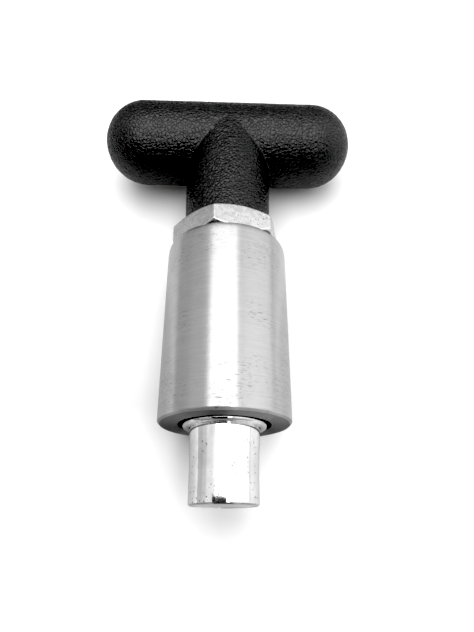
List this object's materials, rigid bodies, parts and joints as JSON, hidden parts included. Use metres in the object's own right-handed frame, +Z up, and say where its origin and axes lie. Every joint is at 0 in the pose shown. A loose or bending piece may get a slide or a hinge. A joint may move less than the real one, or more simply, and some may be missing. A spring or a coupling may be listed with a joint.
{
  "type": "spring-loaded t-handle pull pin",
  "caption": "Spring-loaded pull pin: a bright steel nose in a plain turned aluminium barrel, drawn back by a black grained T-handle.",
  "frame": {"origin": "on the pin's axis, halfway along the barrel", "axes": "+Y along the axis from the nose towards the T-handle, X along the T-bar at rest to within 2 degrees, +Z up when the part lies on its side"},
  "size_m": [0.06, 0.0941, 0.0254],
  "materials": {
    "turned_aluminium": "turned, fine rings round the axis",
    "bright_zinc": "bright zinc plate on steel",
    "spring_steel": "drawn spring wire",
    "plain_steel": "plain rolled steel",
    "bright_steel": "bright nickel or zinc plate on ground steel",
    "insert_brass": "plain turned brass",
    "black_plastic": "moulded with a leather grain, satin"
  },
  "bodies": {
    "housing": {"barrel": "turned_aluminium", "threaded_body": "bright_zinc", "compression_spring": "spring_steel"},
    "follower": {"spring_washer": "plain_steel"},
    "plunger": {"plunger_pin": "bright_steel", "handle_insert": "insert_brass", "handle_grip": "black_plastic"}
  },
  "joints": [
    {"name": "pull", "type": "slide", "parent": "housing", "child": "follower", "axis": [0, 1, 0], "range_m": [0, 0.014], "stiffness_N_per_m": 2600, "springref_m": -0.007, "deforming": ["compression_spring"]},
    {"name": "turn", "type": "hinge", "parent": "follower", "child": "plunger", "pos_m": [0, 0, 0], "axis": [0, 1, 0], "continuous": true}
  ]
}
